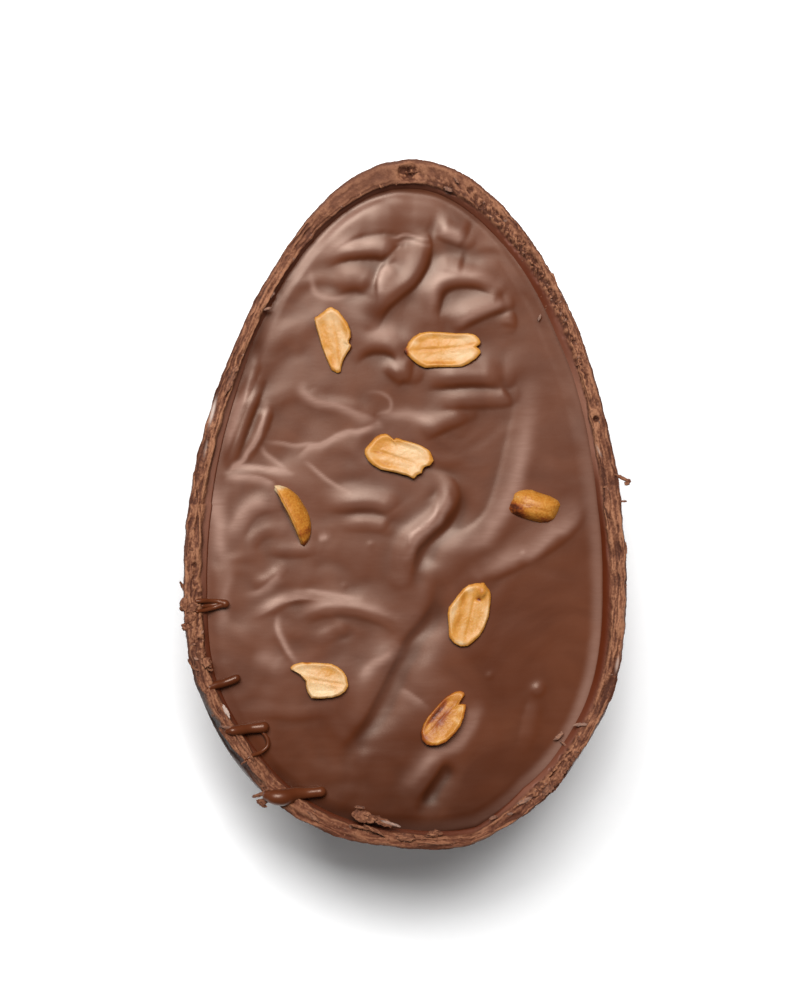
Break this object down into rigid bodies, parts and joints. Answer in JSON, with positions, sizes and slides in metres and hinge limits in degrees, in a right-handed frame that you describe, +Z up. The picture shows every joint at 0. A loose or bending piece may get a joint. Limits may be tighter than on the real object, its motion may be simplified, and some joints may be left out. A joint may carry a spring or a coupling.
{
  "type": "filled chocolate egg half",
  "caption": "Half chocolate egg shell lying open side up, filled to near its broken rim with poured chocolate and set with roasted peanut halves.",
  "frame": {"origin": "under the middle of the part's box, on the flat spot that it rests on", "axes": "+Z up out of the open side, +Y along the egg towards its narrow end, +X across it"},
  "size_m": [0.0968, 0.15, 0.0482],
  "materials": {
    "shell_chocolate": "satin milk chocolate, matte and crumbly on the broken edge",
    "filling_chocolate": "smooth poured milk chocolate with a soft sheen",
    "peanut": "dry roasted peanut, matte"
  },
  "bodies": {
    "root": {"shell": "shell_chocolate", "filling": "filling_chocolate", "peanut_1": "peanut", "peanut_2": "peanut", "peanut_3": "peanut", "peanut_4": "peanut", "peanut_5": "peanut", "peanut_6": "peanut", "peanut_7": "peanut", "peanut_8": "peanut"}
  },
  "joints": []
}
